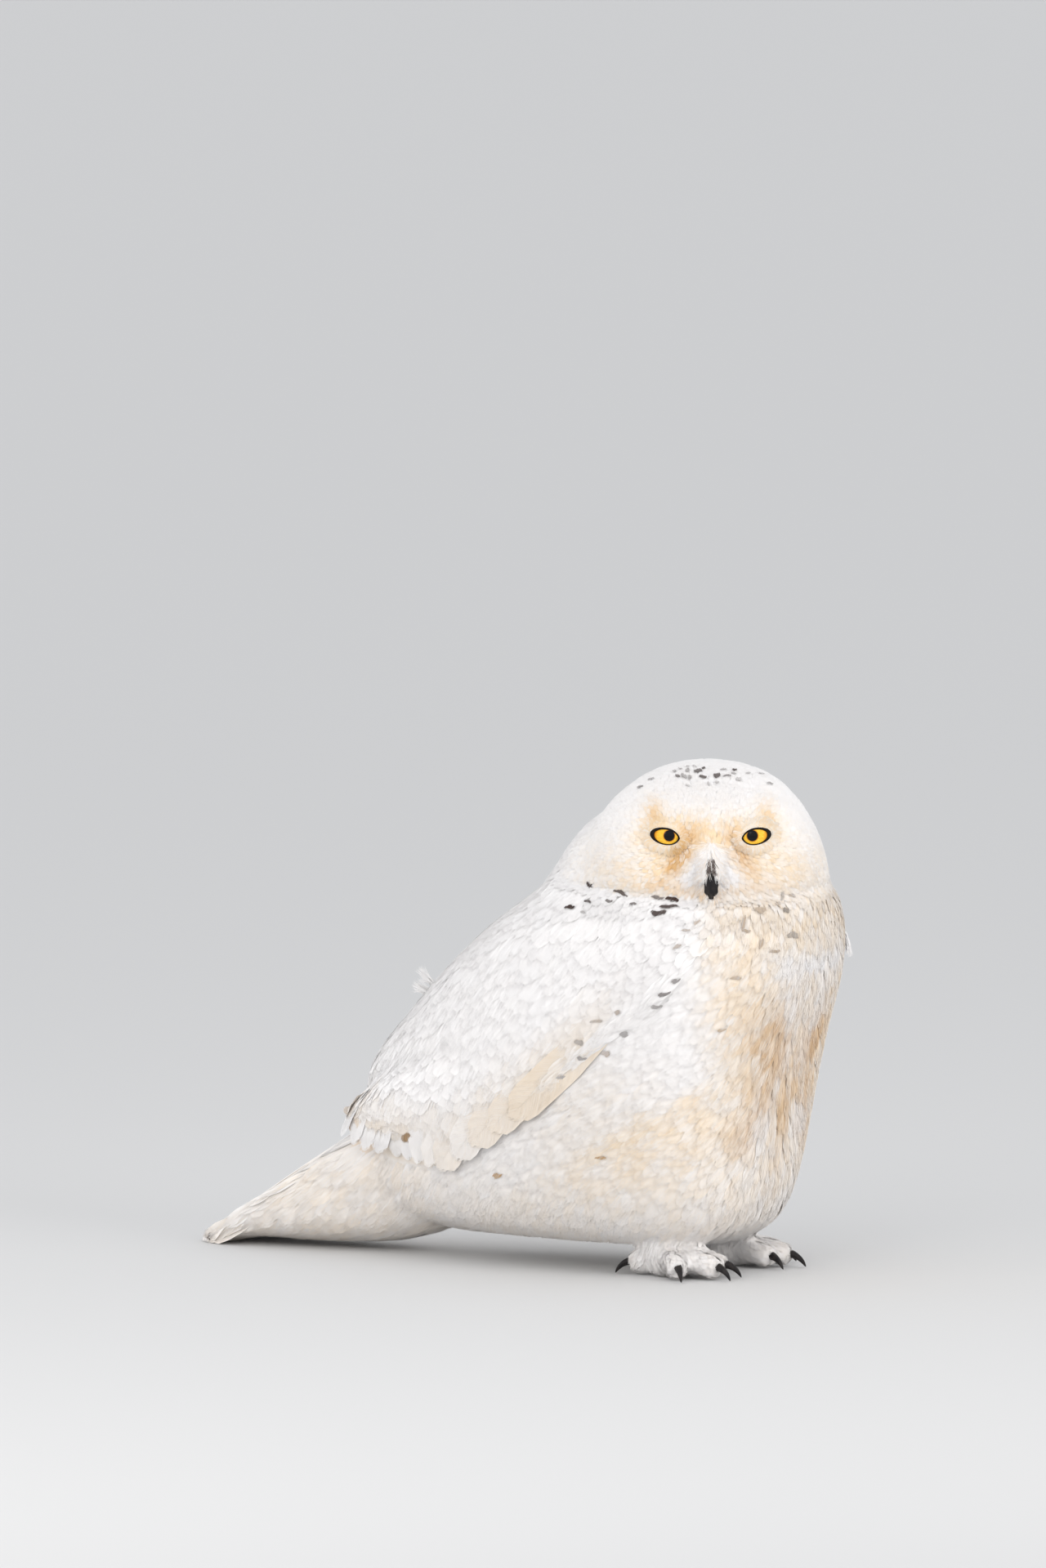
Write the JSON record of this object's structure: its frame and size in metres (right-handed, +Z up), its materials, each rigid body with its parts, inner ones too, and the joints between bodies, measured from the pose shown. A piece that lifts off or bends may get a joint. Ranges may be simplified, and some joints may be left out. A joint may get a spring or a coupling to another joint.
{
  "type": "snowy owl model",
  "caption": "Life-size still model of a white snowy owl resting on the ground, wings folded and head turned over its right shoulder.",
  "frame": {"origin": "middle of the owl's footprint box, on the floor under it", "axes": "the breast faces -Y and the tail +Y, the owl's left is +X and its right -X, +Z is up; the head alone is turned 58 degrees to its right"},
  "size_m": [0.2004, 0.4758, 0.3482],
  "materials": {
    "plumage": "soft white feathers, tinted cream on the face and breast, with a few dark brown flecks",
    "leg_plumage": "short dense white feathering",
    "horn": "smooth black horn",
    "eye": "wet, amber iris round a black pupil"
  },
  "bodies": {
    "root": {"head": "plumage", "neck": "plumage", "trunk": "plumage", "wing_right": "plumage", "wing_left": "plumage", "wing_tip_right": "plumage", "wing_tip_left": "plumage", "tail": "plumage", "leg_right": "leg_plumage", "leg_left": "leg_plumage", "foot_right": "leg_plumage", "foot_left": "leg_plumage", "eye_right": "eye", "eye_left": "eye", "upper_bill": "horn", "lower_bill": "horn", "claw_right_inner": "horn", "claw_right_middle": "horn", "claw_right_outer": "horn", "claw_right_hind": "horn", "claw_left_inner": "horn", "claw_left_middle": "horn", "claw_left_outer": "horn", "claw_left_hind": "horn"}
  },
  "joints": []
}
